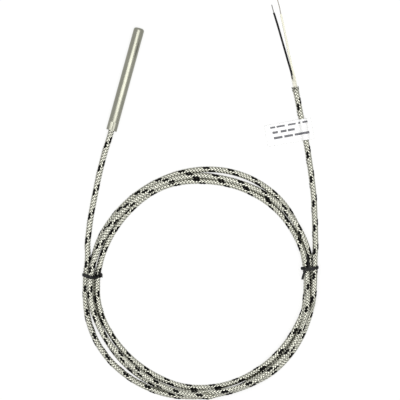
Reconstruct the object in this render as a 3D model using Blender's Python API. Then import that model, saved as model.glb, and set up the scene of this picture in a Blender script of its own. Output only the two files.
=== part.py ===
"""Thermocouple probe: a steel sleeve with a rounded closed tip, a braided cable wound into a loose
coil and held by two twist ties, a label round the tail of the cable and two cores with bare ends.

Metres, +Z up. The sleeve lies along Y with its tip at +Y and its middle above the origin.
Everything rests on the plane z = 0.
"""

import math

import bmesh
import bpy
from mathutils import Vector

MM = 0.001
GAP = 0.3 * MM

# Sleeve
SLEEVE_D = 6.0 * MM
SLEEVE_LENGTH = 60.0 * MM
SLEEVE_WALL = 0.8 * MM
TIP_WALL = 1.0 * MM
TIP_ROUND = 1.4 * MM
CRIMP_LENGTH = 4.8 * MM
CRIMP_FLATS = 5.3 * MM
CRIMP_TURN = 0.0
MOUTH_EDGE = 0.2 * MM
AXIS_Z = SLEEVE_D / 2

# Cable
CABLE_D = 3.4 * MM
CABLE_Z = CABLE_D / 2 + 0.05 * MM
CABLE_IN_SLEEVE = 12.0 * MM
CORE_D = 1.15 * MM
CORE_PITCH = 1.5 * MM
CONDUCTOR_D = 0.5 * MM
WRAP_D = 2.7 * MM
WRAP_LENGTH = 3.0 * MM

# Measuring end, inside the sleeve
BEAD_D = 2.2 * MM
BEAD_Y = SLEEVE_LENGTH / 2 - 4.0 * MM
FILLING_START_Y = -6.0 * MM
LEG_START_Y = -9.0 * MM

# Coil
COIL_X = 72.84 * MM
COIL_Y = -100.82 * MM
COIL_LEAN = 15.34
COIL_HEIGHT = 6.4 * MM
COIL_CHAMFER = 1.3 * MM
COIL_STEP_ANGLE = 4.0
PROBE_JOIN = 171.0
TAIL_JOIN = 13.0

# Twist ties
TIE_WIDTH = 1.9 * MM
TIE_THICKNESS = 0.6 * MM
TIE_CORNER = 1.3 * MM
TIE_FLOOR = 0.05 * MM
LEFT_TIE = 176.0
RIGHT_TIE = 9.5

# Label
LABEL_LENGTH = 26.6 * MM
LABEL_HEIGHT = 12.0 * MM
LABEL_LEAF = 0.4 * MM
LABEL_WALL = 0.3 * MM
LABEL_X = 105.0 * MM
LABEL_Y = -0.6 * MM
LABEL_SHIFT = -8.6 * MM
LABEL_TURN = 25.3
LABEL_DROOP = 3.5
LABEL_BORE_R = CABLE_D / 2 + GAP + 0.1 * MM
LABEL_Z = LABEL_BORE_R + LABEL_WALL + 0.06 * MM

# Edges of the coil seen from above: angle round the coil in degrees, distance from its middle in mm.
INNER_EDGE = (
    (0, 57.7), (20, 58.1), (40, 58.3), (60, 57.7), (80, 57.4), (100, 58.0), (120, 57.8), (140, 57.2), (160, 57.5),
    (180, 58.2), (200, 57.6), (220, 56.5), (240, 56.0), (260, 56.5), (280, 55.6), (320, 55.7), (340, 56.1), (360, 57.7),
)
# Three strands lie side by side here.
OUTER_EDGE_NARROW = (
    (13, 63.4), (20, 64.3), (30, 65.0), (40, 65.7), (50, 66.5), (60, 67.2), (75, 67.6), (95, 66.9), (110, 65.9),
    (125, 65.1), (140, 65.0), (155, 65.3), (165, 65.1), (171, 64.5),
)
# The fourth strand lies outside them here.
OUTER_EDGE_WIDE = (
    (171, 68.5), (180, 68.0), (190, 68.8), (200, 69.4), (210, 69.4), (220, 69.1), (230, 68.4), (240, 67.4), (250, 66.5),
    (260, 65.5), (275, 64.1), (290, 63.4), (300, 63.8), (315, 64.8), (335, 64.9), (350, 64.3), (360, 64.6), (369, 66.3), (373, 67.2),
)

# Middle line of each free stretch in mm, from its near end.
PROBE_LEAD = (
    (0.0, -18.0, 3.0), (0.0, -24.0, 3.0), (0.0, -30.0, 3.0), (0.0, -35.4, 2.7), (-0.3, -41.0, 2.1), (-0.4, -47.0, 1.8),
    (-0.2, -53.9, 1.75), (0.1, -59.8, 1.75), (0.5, -66.0, 1.75), (1.0, -73.0, 1.75), (1.6, -80.0, 1.75), (2.6, -87.0, 1.75),
    (3.9, -94.0, 1.75), (5.2, -101.0, 1.75), (6.35, -107.8, 1.75),
)
TAIL_LEAD = (
    (130.35, -69.3, 3.6), (129.2, -63.6, 2.8), (128.0, -58.6, 2.1), (126.5, -53.4, 1.75), (124.8, -48.0, 1.75),
    (122.6, -41.3, 1.75), (120.0, -34.0, 1.75), (117.1, -27.0, 1.75), (114.0, -19.7, 1.8), (110.6, -12.0, 2.1),
    (107.9, -6.3, 2.4), (105.0, -0.6, 2.47), (102.0, 5.1, 2.4), (98.6, 11.8, 2.0), (95.6, 17.7, 1.75), (94.0, 21.1, 1.75),
)
BLACK_CORE = (
    (92.0, 23.8, 1.75), (89.7, 28.1, 1.2), (86.7, 33.1, 0.7), (83.2, 39.0, 0.63), (79.5, 45.0, 0.63), (75.5, 51.5, 0.63),
    (71.1, 58.6, 0.63),
)
WHITE_CORE = (
    (93.3, 24.4, 1.75), (91.1, 28.7, 1.2), (88.5, 33.4, 0.7), (85.8, 38.6, 0.63), (83.0, 44.3, 0.63), (80.0, 50.4, 0.63), (77.1, 55.8, 0.63),
    (74.2, 61.0, 0.63),
)
BLACK_CORE_BARE = ((70.95, 58.85, 0.6), (70.0, 60.5, 0.45), (69.0, 62.1, 0.35))
WHITE_CORE_BARE = ((74.05, 61.3, 0.6), (72.7, 63.7, 0.45), (71.3, 66.0, 0.35), (70.4, 67.8, 0.35))


def clear_scene():
    for old in list(bpy.data.objects):
        bpy.data.objects.remove(old, do_unlink=True)


def make_material(name, colour, roughness, metallic=0.0):
    material = bpy.data.materials.new(name)
    material.use_nodes = True
    shader = material.node_tree.nodes["Principled BSDF"]
    shader.inputs["Base Color"].default_value = (*colour, 1.0)
    shader.inputs["Roughness"].default_value = roughness
    shader.inputs["Metallic"].default_value = metallic
    material.diffuse_color = (*colour, 1.0)
    return material


def add_object(name, mesh, material):
    obj = bpy.data.objects.new(name, mesh)
    bpy.context.scene.collection.objects.link(obj)
    if material is not None:
        mesh.materials.append(material)
    return obj


def skin(name, rings, material, closed=False):
    """Joins rings of points into one solid: a loop if closed, else with a flat face at each end."""
    form = bmesh.new()
    loops = [[form.verts.new(point) for point in ring] for ring in rings]
    pairs = list(zip(loops, loops[1:]))
    if closed:
        pairs.append((loops[-1], loops[0]))
    for first, second in pairs:
        count = len(first)
        for i in range(count):
            j = (i + 1) % count
            form.faces.new((first[i], first[j], second[j], second[i]))
    if not closed:
        form.faces.new(loops[0])
        form.faces.new(loops[-1])
    bmesh.ops.recalc_face_normals(form, faces=form.faces)
    mesh = bpy.data.meshes.new(name)
    form.to_mesh(mesh)
    form.free()
    mesh.shade_smooth()
    mesh.set_sharp_from_angle(angle=math.radians(30))
    return add_object(name, mesh, material)


def ring_along_y(y, radius_at, centre=(0.0, AXIS_Z), sides=36):
    """A ring round an axis along Y. radius_at gives the radius at an angle from straight up."""
    points = []
    for i in range(sides):
        angle = 2 * math.pi * i / sides
        radius = radius_at(angle) if callable(radius_at) else radius_at
        points.append((centre[0] + radius * math.sin(angle), y, centre[1] + radius * math.cos(angle)))
    return points


def rod_along_y(name, start_y, end_y, diameter, material, x=0.0, sides=16):
    rings = [ring_along_y(y, diameter / 2, (x, AXIS_Z), sides) for y in (start_y, end_y)]
    return skin(name, rings, material)


def cut(target, cutter, operation="DIFFERENCE"):
    cutter.hide_render = True
    cutter.display_type = "WIRE"
    modifier = target.modifiers.new(cutter.name, "BOOLEAN")
    modifier.operation = operation
    modifier.solver = "EXACT"
    modifier.object = cutter


def between(table, angle):
    """The value at an angle, eased between the two nearest rows of a table."""
    for (low, low_value), (high, high_value) in zip(table, table[1:]):
        if low <= angle <= high:
            share = (angle - low) / (high - low)
            share = share * share * (3 - 2 * share)
            return low_value + (high_value - low_value) * share
    return table[0][1] if angle < table[0][0] else table[-1][1]


def round_coil(angle, distance, height):
    """A point beside the coil: angle in degrees, distance from its middle and height in metres."""
    turn = math.radians(angle + COIL_LEAN)
    return Vector((COIL_X + distance * math.cos(turn), COIL_Y + distance * math.sin(turn), height))


def smooth_route(points, spacing):
    """Points an even distance apart on a smooth curve through the given points, which are in mm."""
    knots = [Vector(point) * MM for point in points]
    knots = [2 * knots[0] - knots[1]] + knots + [2 * knots[-1] - knots[-2]]
    fine = []
    for a, b, c, d in zip(knots, knots[1:], knots[2:], knots[3:]):
        for i in range(24):
            t = i / 24
            fine.append(0.5 * (2 * b + (c - a) * t + (2 * a - 5 * b + 4 * c - d) * t * t + (3 * b - a - 3 * c + d) * t ** 3))
    fine.append(knots[-2].copy())
    lengths = [0.0]
    for first, second in zip(fine, fine[1:]):
        lengths.append(lengths[-1] + (second - first).length)
    count = max(2, round(lengths[-1] / spacing) + 1)
    route = []
    j = 0
    for i in range(count):
        wanted = lengths[-1] * i / (count - 1)
        while j < len(lengths) - 2 and lengths[j + 1] < wanted:
            j += 1
        share = (wanted - lengths[j]) / max(lengths[j + 1] - lengths[j], 1e-12)
        route.append(fine[j].lerp(fine[j + 1], min(share, 1.0)))
    return route


def tube(name, points, diameter, material, spacing=2.4):
    """A round cord along a smooth route, with flat ends."""
    curve = bpy.data.curves.new(name, "CURVE")
    curve.dimensions = "3D"
    curve.fill_mode = "FULL"
    curve.bevel_depth = diameter / 2
    curve.bevel_resolution = 2
    curve.use_fill_caps = True
    route = smooth_route(points, spacing * diameter)
    spline = curve.splines.new("POLY")
    spline.points.add(len(route) - 1)
    for knot, point in zip(spline.points, route):
        knot.co = (*point, 1.0)
    spline.use_smooth = True
    return add_object(name, curve, material)


def crimp_radius(across_flats, round_radius):
    """The radius of a six-sided crimp whose corners stay round."""
    def radius_at(angle):
        from_flat = (angle - math.radians(CRIMP_TURN) + math.pi / 6) % (math.pi / 3) - math.pi / 6
        return min(round_radius, across_flats / 2 / math.cos(from_flat))
    return radius_at


def build_sleeve(material):
    half = SLEEVE_LENGTH / 2
    outer = SLEEVE_D / 2
    bore = outer - SLEEVE_WALL
    cable_bore = CABLE_D / 2 + GAP
    shoulder = -half + CRIMP_LENGTH
    crimp = crimp_radius(CRIMP_FLATS, outer - 0.03 * MM)
    mouth = crimp_radius(CRIMP_FLATS - 2 * MOUTH_EDGE, outer - MOUTH_EDGE)
    bottom = half - TIP_WALL
    rings = [
        ring_along_y(bottom, bore - 0.7 * MM),
        ring_along_y(bottom - 0.2 * MM, bore - 0.2 * MM),
        ring_along_y(bottom - 0.7 * MM, bore),
        ring_along_y(shoulder + 0.6 * MM, bore),
        ring_along_y(shoulder, cable_bore),
        ring_along_y(-half, cable_bore),
        ring_along_y(-half, mouth),
        ring_along_y(-half + MOUTH_EDGE, crimp),
        ring_along_y(shoulder, crimp),
        ring_along_y(shoulder + 0.35 * MM, outer),
    ]
    for i in range(7):
        turn = math.radians(90 * i / 6)
        rings.append(ring_along_y(half - TIP_ROUND * (1 - math.sin(turn)), outer - TIP_ROUND * (1 - math.cos(turn))))
    return skin("protective_sleeve", rings, material)


def build_measuring_end(ceramic, bead_metal, iron, copper_nickel):
    bottom = SLEEVE_LENGTH / 2 - TIP_WALL
    filling_d = SLEEVE_D - 2 * SLEEVE_WALL - 2 * GAP
    filling = skin("ceramic_filling", [
        ring_along_y(FILLING_START_Y, filling_d / 2),
        ring_along_y(bottom - GAP - 0.8 * MM, filling_d / 2),
        ring_along_y(bottom - GAP, filling_d / 2 - 0.8 * MM),
    ], ceramic)
    bead_rings = []
    pocket_rings = []
    for i in range(1, 12):
        turn = math.pi * i / 12
        for rings, radius in ((bead_rings, BEAD_D / 2), (pocket_rings, BEAD_D / 2 + GAP)):
            rings.append(ring_along_y(BEAD_Y - radius * math.cos(turn), radius * math.sin(turn), sides=20))
    skin("junction_bead", bead_rings, bead_metal)
    cut(filling, skin("cutter_bead_pocket", pocket_rings, None))
    for side, node, metal in ((-1, "iron_leg", iron), (1, "copper_nickel_leg", copper_nickel)):
        x = side * CORE_PITCH / 2
        reach = math.sqrt((BEAD_D / 2) ** 2 - (CORE_PITCH / 2 - CONDUCTOR_D / 2) ** 2)
        rod_along_y(node, LEG_START_Y, BEAD_Y - reach - GAP, CONDUCTOR_D, metal, x, 12)
        bore = rod_along_y("cutter_" + node, FILLING_START_Y - 1 * MM, BEAD_Y, CONDUCTOR_D + 2 * GAP, None, x, 12)
        cut(filling, bore)


def build_cores_in_sleeve(black, white):
    cable_end = -SLEEVE_LENGTH / 2 + CABLE_IN_SLEEVE
    for side, node, material in ((-1, "black_core_inside", black), (1, "white_core_inside", white)):
        rod_along_y(node, cable_end + GAP, LEG_START_Y - GAP, CORE_D, material, side * CORE_PITCH / 2)


def coil_section(angle, inner, outer):
    """The coil cut across at one angle. It is lifted where a twist tie passes beneath it."""
    low = 0.0
    for tie in (LEFT_TIE, RIGHT_TIE, RIGHT_TIE + 360):
        if abs(angle - tie) <= 1.7:
            low = TIE_FLOOR + TIE_THICKNESS + GAP
    c = COIL_CHAMFER
    high = COIL_HEIGHT
    outline = (
        (inner + c, low), (outer - c, low), (outer, low + c), (outer, high - c),
        (outer - c, high), (inner + c, high), (inner, high - c), (inner, low + c),
    )
    return [round_coil(angle, distance, height) for distance, height in outline]


def build_coil(material):
    """Three strands side by side from TAIL_JOIN to PROBE_JOIN, four from there on round to TAIL_JOIN."""
    sections = []
    for start, end, table in ((TAIL_JOIN, PROBE_JOIN, OUTER_EDGE_NARROW), (PROBE_JOIN + 0.01, TAIL_JOIN + 359.99, OUTER_EDGE_WIDE)):
        count = math.ceil((end - start) / COIL_STEP_ANGLE)
        angles = [start + (end - start) * i / count for i in range(count + 1)]
        for tie in (LEFT_TIE, RIGHT_TIE + 360):
            if start < tie < end:
                angles = [angle for angle in angles if abs(angle - tie) > 2.0]
                angles += [tie - 1.8, tie - 1.7, tie, tie + 1.7, tie + 1.8]
        for angle in sorted(angles):
            inner = between(INNER_EDGE, angle % 360) * MM
            sections.append(coil_section(angle, inner, between(table, angle) * MM))
    return skin("cable_coil", sections, material, closed=True)


def build_tie(name, angle, inner, outer, tails, material):
    """A ribbon loop round the coil, joined with its twisted tails, which lie on top of the coil."""
    low = TIE_FLOOR
    high = COIL_HEIGHT + GAP + TIE_THICKNESS
    left = inner - GAP - TIE_THICKNESS
    right = outer + GAP + TIE_THICKNESS
    along = Vector(round_coil(angle + 90, 1.0, 0.0)) - Vector((COIL_X, COIL_Y, 0.0))
    sections = []
    for corner_x, corner_z, start in ((right, high, 0), (left, high, 90), (left, low, 180), (right, low, 270)):
        centre_x = corner_x + (TIE_CORNER if corner_x == left else -TIE_CORNER)
        centre_z = corner_z + (TIE_CORNER if corner_z == low else -TIE_CORNER)
        for i in range(4):
            turn = math.radians(start + 30 * i)
            section = []
            for radius, side in ((TIE_CORNER, -1), (TIE_CORNER, 1), (TIE_CORNER - TIE_THICKNESS, 1), (TIE_CORNER - TIE_THICKNESS, -1)):
                point = round_coil(angle, centre_x + radius * math.cos(turn), centre_z + radius * math.sin(turn))
                section.append(point + along * (side * TIE_WIDTH / 2))
            sections.append(section)
    loop = skin(name, sections, material, closed=True)
    for number, (points, width, depth, twist) in enumerate(tails):
        knots = [round_coil(angle + turn, distance * MM, height * MM) for turn, distance, height in points]
        sections = []
        for i, knot in enumerate(knots):
            ahead = (knots[min(i + 1, len(knots) - 1)] - knots[max(i - 1, 0)]).normalized()
            across = ahead.cross(Vector((0, 0, 1))).normalized()
            up = across.cross(ahead)
            turn = math.radians(twist * i / (len(knots) - 1))
            wide = across * math.cos(turn) + up * math.sin(turn)
            thick = up * math.cos(turn) - across * math.sin(turn)
            sections.append([
                knot + wide * (a * width * MM / 2) + thick * (b * depth * MM / 2) for a, b in ((-1, -1), (1, -1), (1, 1), (-1, 1))
            ])
        cut(loop, skin(f"cutter_{name}_{number}", sections, None), "UNION")
    return loop


def build_label(material):
    """Two leaves stuck together with the cable between them, so the label has a round way through it."""
    turn = math.radians(LABEL_TURN)
    droop = math.radians(LABEL_DROOP)
    row = Vector((math.cos(turn) * math.cos(droop), math.sin(turn) * math.cos(droop), math.sin(droop)))
    along = Vector((-math.sin(turn), math.cos(turn), 0.0))
    up = row.cross(along)
    middle = Vector((LABEL_X, LABEL_Y, LABEL_Z))
    leaf = []
    for side in (-1, 1):
        corners = ((-0.5, -0.5), (0.5, -0.5), (0.5, 0.5), (-0.5, 0.5))
        leaf.append([
            middle + row * (LABEL_SHIFT + a * LABEL_LENGTH) + up * (b * LABEL_LEAF) + along * (side * LABEL_HEIGHT / 2)
            for a, b in corners
        ])
    label = skin("label_flag", leaf, material)
    barrels = []
    for radius, reach in ((LABEL_BORE_R + LABEL_WALL, LABEL_HEIGHT / 2 - 0.02 * MM), (LABEL_BORE_R, LABEL_HEIGHT)):
        rings = []
        for side in (-1, 1):
            angles = [2 * math.pi * i / 24 for i in range(24)]
            rings.append([middle + row * (radius * math.cos(a)) + up * (radius * math.sin(a)) + along * (side * reach) for a in angles])
        barrels.append(rings)
    cut(label, skin("cutter_label_barrel", barrels[0], None), "UNION")
    cut(label, skin("cutter_label_bore", barrels[1], None))
    return label


def build_wrap(material):
    """The glass wrap that shows between the end of the braid and the two cores."""
    end = Vector(TAIL_LEAD[-1]) * MM
    ahead = (end - Vector(TAIL_LEAD[-2]) * MM).normalized()
    start = (end + ahead * GAP) / MM
    stop = (end + ahead * WRAP_LENGTH) / MM
    return tube("inner_wrap", (start, stop), WRAP_D, material, 1.0)


def build():
    clear_scene()
    steel = make_material("sleeve_steel", (0.62, 0.61, 0.58), 0.28, 1.0)
    braid = make_material("wire_braid", (0.50, 0.51, 0.49), 0.45, 0.7)
    black = make_material("black_glass_core", (0.02, 0.02, 0.02), 0.7)
    white = make_material("cream_glass_core", (0.80, 0.77, 0.68), 0.8)
    wrap = make_material("glass_wrap", (0.75, 0.75, 0.70), 0.85)
    ceramic = make_material("ceramic", (0.83, 0.80, 0.74), 0.9)
    bead_metal = make_material("welded_bead", (0.35, 0.34, 0.33), 0.5, 1.0)
    iron = make_material("iron_wire", (0.42, 0.41, 0.40), 0.4, 1.0)
    copper_nickel = make_material("copper_nickel_wire", (0.60, 0.54, 0.47), 0.35, 1.0)
    paper = make_material("label_paper", (0.88, 0.88, 0.87), 0.6)
    tie = make_material("black_tie", (0.02, 0.02, 0.02), 0.5)

    build_sleeve(steel)
    build_measuring_end(ceramic, bead_metal, iron, copper_nickel)
    build_cores_in_sleeve(black, white)
    build_coil(braid)
    tube("cable_probe_lead", PROBE_LEAD, CABLE_D, braid)
    tube("cable_tail_lead", TAIL_LEAD, CABLE_D, braid)
    build_wrap(wrap)
    tube("black_core_tail", BLACK_CORE, CORE_D, black)
    tube("white_core_tail", WHITE_CORE, CORE_D, white)
    tube("iron_wire_end", BLACK_CORE_BARE, CONDUCTOR_D, iron)
    tube("copper_nickel_wire_end", WHITE_CORE_BARE, CONDUCTOR_D, copper_nickel)
    build_label(paper)
    top = COIL_HEIGHT / MM + 0.6
    build_tie("twist_tie_left", LEFT_TIE, 58.1 * MM, 68.3 * MM, (
        (((0.2, 62.6, top + 0.6), (0.0, 61.2, top + 0.8), (-0.4, 59.8, top + 0.9), (-1.0, 58.5, top + 0.9)), 1.7, 1.3, 75),
    ), tie)
    build_tie("twist_tie_right", RIGHT_TIE, 57.9 * MM, 66.5 * MM, (
        (((0.2, 60.4, top + 0.1), (-1.2, 60.1, top + 0.3), (-2.8, 59.7, top + 0.4), (-4.6, 59.2, top + 0.3)), 1.3, 0.6, 60),
        (((-0.2, 62.2, top + 0.1), (1.4, 62.0, top + 0.3), (3.2, 61.8, top + 0.4), (5.2, 61.7, top + 0.3)), 1.4, 0.6, -60),
    ), tie)


build()
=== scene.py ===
"""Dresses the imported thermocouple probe: steel sleeve, wire-braided cable wound into a loose coil,
label, twist ties and the two cores at the end of the cable.

Metres, +Z up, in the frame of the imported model.
"""

import math

import bmesh
import bpy
import numpy as np
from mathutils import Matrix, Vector


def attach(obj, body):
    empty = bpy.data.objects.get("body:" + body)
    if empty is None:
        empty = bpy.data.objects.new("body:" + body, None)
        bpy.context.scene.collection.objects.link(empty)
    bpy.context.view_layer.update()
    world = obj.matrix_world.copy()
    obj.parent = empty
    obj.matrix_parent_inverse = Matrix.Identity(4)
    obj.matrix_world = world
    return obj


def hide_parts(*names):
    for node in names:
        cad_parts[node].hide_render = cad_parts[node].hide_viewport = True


MM = 0.001
# The photograph is this many pixels wide, and shows 1.767 of them to a millimetre.
IMAGE_PIXELS = 400
PIXEL = MM / 1.767

# Sleeve
SLEEVE_R = 3.0 * MM
SLEEVE_HALF = 30.0 * MM
SLEEVE_BORE = 2.2 * MM
CABLE_BORE = 2.0 * MM
TIP_ROUND = 1.4 * MM
CRIMP_LENGTH = 4.8 * MM
CRIMP_FLATS = 5.3 * MM
# The groove along each flat is this share as far out as the flat.
CRIMP_GROOVE = 0.955
# The tool that cuts the flats starts this far outside the mouth.
CUTTER_START = 1.0 * MM
WALL_EDGE = 0.15 * MM
BORE_STEP = 0.6 * MM
WIDE_BORE = 2 * SLEEVE_HALF - CRIMP_LENGTH - 2.0 * MM

# Cable
CABLE_D = 3.4 * MM
CABLE_R = CABLE_D / 2
CORE_D = 1.15 * MM
WIRE_D = 0.55 * MM
CORE_WOBBLE = 0.03
# Where the braid is cut off it spreads by this share of its radius, over its last crossings.
FLARE = 0.16
FLARE_STEPS = 7

# Coil, seen from above. Angles are in degrees from the photograph's right, which lies COIL_LEAN from +X.
COIL_MIDDLE = (72.84 * MM, -100.82 * MM)
COIL_LEAN = 15.34
LEFT_TIE = 176.0
RIGHT_TIE = 9.3
FIRST_ANGLE = 160.0
LAST_ANGLE = 1455.5
MOST_LAPS = 5

# How the turns settle, in mm and degrees. Each tie's band lifts them by TIE_LIFT, less with distance.
TIE_LIFT = 0.66
TIE_REACH = 6.0
TURN_PRESS = 0.12
LEVEL_WITHIN = 0.3
TINY = 1e-9
SETTLE_ROUNDS = 500
PUSH_ROUNDS = 3
SINK_EACH_ROUND = 0.02
# Shares of a fault that one round puts right.
STRAIGHTEN = 0.24
PULL_BACK = 0.12
PUSH_ASIDE = 0.4
LOWER_GIVES = 0.3
UPPER_GIVES = 0.7

# Braid: eight carriers run each way, over two and under two
CARRIERS = 8
BRAID_PITCH = 13.75 * MM
CROSSINGS = 2 * CARRIERS
RIBBON_WIDTH = 0.88 * MM
TRACER_WIDTH = 1.85 * MM
RIBBON_RISE = 0.4 * MM
RIBBON_CROWN = 0.2 * MM
TRACER_RAISE = 0.12 * MM
LINING_RAISE = 0.03 * MM
LINING_SIDES = 8
BRAID_SLOPE = math.atan(2 * math.pi * CABLE_R / BRAID_PITCH)
# Across a bunch: four lines of points, as shares of its width, and how far each drops from its crown.
BUNCH_LINES = ((-0.5, RIBBON_CROWN), (-0.2, 0.0), (0.2, 0.0), (0.5, RIBBON_CROWN))
# Painted shade: how much darker the sides of a bunch are drawn than its crown.
SIDE_SHADE = 0.7

# How the woven pattern lies along the cable: mm from its start, how many crossings it runs ahead of an even
# pitch, and degrees of twist.
BRAID_LAY = (
    (0, 7.5, 20), (80, 7, 25), (120, 8, -20), (200, 4.5, -35), (285, 6.5, 5), (340, 4, -45), (430, 3, -70),
    (520, 3, -145), (595, -0.5, -160), (650, -3, -225), (680, -3.5, -210), (710, -0.5, -160),
    (800, -4.5, -165), (850, -8.5, -155), (900, -5.5, -130), (975, -2, -165), (1040, -2.5, -175),
    (1090, -6, -235), (1145, -8, -250), (1180, -10.5, -230), (1210, -8.5, -240), (1310, -10, -240),
    (1350, -6.5, -205), (1420, -7.5, -245), (1465, -3.5, -210), (1576, -4.5, -215),
)

# Twist ties
TIE_WIDTH = 1.9 * MM
TIE_THICKNESS = 0.6 * MM
# A tie's section: points across it and through it, as shares of its width and thickness.
# The ridge over its wire is in the middle.
TIE_SECTION = (
    (-0.5, 0.0), (-0.46, 0.26), (-0.24, 0.3), (-0.12, 0.5), (0.0, 0.56), (0.12, 0.5), (0.24, 0.3),
    (0.46, 0.26), (0.5, 0.0), (0.46, -0.26), (0.2, -0.3), (0.0, -0.32), (-0.2, -0.3), (-0.46, -0.26),
)
CIRCLE_POINTS = 48
BAND_RINGS = 72

# Label
LABEL_LENGTH = 26.6 * MM
LABEL_HEIGHT = 12.0 * MM
LABEL_SHIFT = -8.6 * MM
LABEL_TURN = 25.3
LABEL_DROOP = 3.5
LABEL_MIDDLE = (105.0 * MM, -0.6 * MM, 2.46 * MM)
LABEL_ROUND = 2.15 * MM
LABEL_CELL = 0.26 * MM
LABEL_THICKNESS = 0.1 * MM
# The two leaves are this far off their middle plane, and more at the foot of the bulge over the cable.
LEAF_OFF = 0.12 * MM
FOOT_OFF = 0.5 * MM
FOOT_REACH = 0.7 * MM
# The film's waves start this far from the cable and grow over the next stretch.
WAVE_START = 3 * MM
WAVE_GROWTH = 6 * MM
LONG_WAVE = 0.22 * MM
CROSS_WAVE = 0.16 * MM
# The upper and the lower leaf stay this far above the floor.
UPPER_LEAF_LOWEST = 0.12 * MM
LOWER_LEAF_LOWEST = 0.04 * MM
# Rows of printed bars, in mm from the lower left corner: bottom, top, and where each bar starts and stops.
PRINT_ROWS = (
    (9.6, 10.7, ((3.1, 5.9), (6.9, 11.6), (13.2, 17.7), (19.4, 20.4), (21.6, 24.4))),
    (6.6, 7.7, ((3.8, 7.0), (8.6, 12.0), (12.9, 16.6))),
    (3.5, 4.6, ((4.2, 9.0), (10.1, 15.2), (16.2, 24.4))),
)

# How far each band strays from a straight line over the turns, in mm: share of the way out, and how far on.
LEFT_SWAY = ((0.0, -1.5), (0.15, -0.9), (0.35, -0.2), (0.55, -0.25), (0.8, -0.8), (1.0, -1.25))
RIGHT_SWAY = ((0.0, 0.2), (0.25, -0.2), (0.5, -0.55), (0.75, -0.6), (1.0, -0.3))
# The free ends of the ties: points in mm, width and thickness in mm, turning about itself in degrees.
LEFT_ENDS = (
    (
        ((15.4, -111.2, 5.6), (16.2, -110.8, 6.6), (16.5, -109.9, 7.2),
         (15.9, -109.1, 7.5), (15.1, -109.3, 7.8), (14.9, -110.2, 8.1)),
        1.8, 0.6, (20, 30, 60, 90, 120),
    ),
    (
        ((15.9, -111.0, 5.6), (15.2, -110.8, 6.7), (14.9, -110.0, 7.3),
         (15.4, -109.3, 7.9), (16.1, -109.6, 8.4), (16.2, -110.4, 8.7)),
        1.8, 0.6, (160, 140, 100, 60, 40),
    ),
    (
        ((16.6, -111.1, 5.4), (16.4, -110.6, 6.2), (16.0, -110.0, 7.0), (15.7, -109.4, 7.6)),
        1.7, 0.6, (40, 60, 90),
    ),
)
RIGHT_ENDS = (
    (
        ((127.2, -75.7, 8.3), (126.7, -76.8, 8.5), (126.3, -78.1, 8.2),
         (126.1, -79.6, 7.8), (126.05, -81.2, 7.5), (126.15, -82.6, 7.3)),
        1.4, 0.55, (0, 10, 20, 25, 25),
    ),
    (
        ((127.8, -76.0, 8.3), (128.0, -74.9, 8.5), (127.5, -73.6, 8.0),
         (126.8, -72.3, 7.3), (126.0, -70.7, 6.9), (125.3, -69.0, 6.8)),
        1.4, 0.55, (0, 20, 45, 60, 60),
    ),
    (
        ((126.2, -75.9, 7.6), (125.4, -76.2, 7.2), (124.6, -76.5, 6.6), (123.9, -76.8, 6.0)),
        1.7, 0.6, (0, 0, 0),
    ),
)

# The middle line of the cable from inside the sleeve to the coil, in mm.
PROBE_LEAD = (
    (0, -18, 3), (0, -21, 3), (0, -24, 3), (0, -27, 3), (0, -30, 3),
    (0, -33, 2.95), (-0.1, -36.5, 2.7), (-0.3, -40, 2.3), (-0.4, -43.5, 1.95), (-0.4, -47.5, 1.75),
    (-0.3, -52, 1.7), (-0.1, -57, 1.7), (0.2, -62, 1.7), (0.6, -67.5, 1.7), (1, -73, 1.7),
    (1.5, -79, 1.7), (2.2, -85, 1.7), (3.1, -90.5, 1.7),
)
# From the coil to the end of the braid, in mm.
TAIL_LEAD = (
    (129.2, -64.6, 1.9), (128.25, -61.1, 1.7), (126.8, -56.2, 1.7), (125.3, -51.2, 1.7),
    (123.5, -45.5, 1.7), (121.35, -38.7, 1.7), (118.85, -31.9, 1.7), (116.05, -25.1, 1.7),
    (112.95, -17.9, 1.75), (109.85, -11, 1.85), (107.35, -5.9, 1.9), (104.8, -0.7, 1.9),
    (102.05, 4.55, 1.85), (99.2, 10.3, 1.8), (96.5, 15.75, 1.9), (93.75, 21.3, 2),
)

# How far the middle of the cable is from the middle of the coil, in mm, at each angle round the coil.
# Angles count on from lap to lap: the cable comes in at 160 and leaves past 1440.
TURN_DISTANCE = (
    (160, 69.4), (165, 67), (175, 65.6), (190, 66.9), (200, 67.7), (240, 65.9), (270, 62.7), (290, 61.4),
    (300, 60.4), (330, 59.9), (360, 59), (380, 60.4), (390, 62.7), (440, 66.1), (450, 65.5), (480, 63.7),
    (500, 63.4), (520, 63.7), (530, 63.4), (560, 62.6), (620, 61.5), (630, 60.8), (660, 61.1), (700, 60.8),
    (720, 59.3), (730, 59.6), (760, 59.9), (810, 59.1), (830, 60), (860, 58.9), (890, 59.4), (910, 60.1),
    (930, 58.6), (960, 57.7), (980, 58.3), (990, 58.1), (1050, 57.8), (1060, 58.4), (1070, 59.9),
    (1080, 61.7), (1100, 62.8), (1120, 63.3), (1160, 61.5), (1170, 62), (1190, 62), (1200, 61.4),
    (1215, 61.6), (1250, 63), (1260, 63.7), (1270, 63.7), (1280, 62.8), (1290, 62.2), (1300, 61.1),
    (1320, 60.7), (1340, 61.8), (1380, 62.1), (1390, 62.9), (1420, 62.9), (1440, 62.9), (1450, 64.2),
    (1455, 65.5), (1461, 67.9),
)
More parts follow.
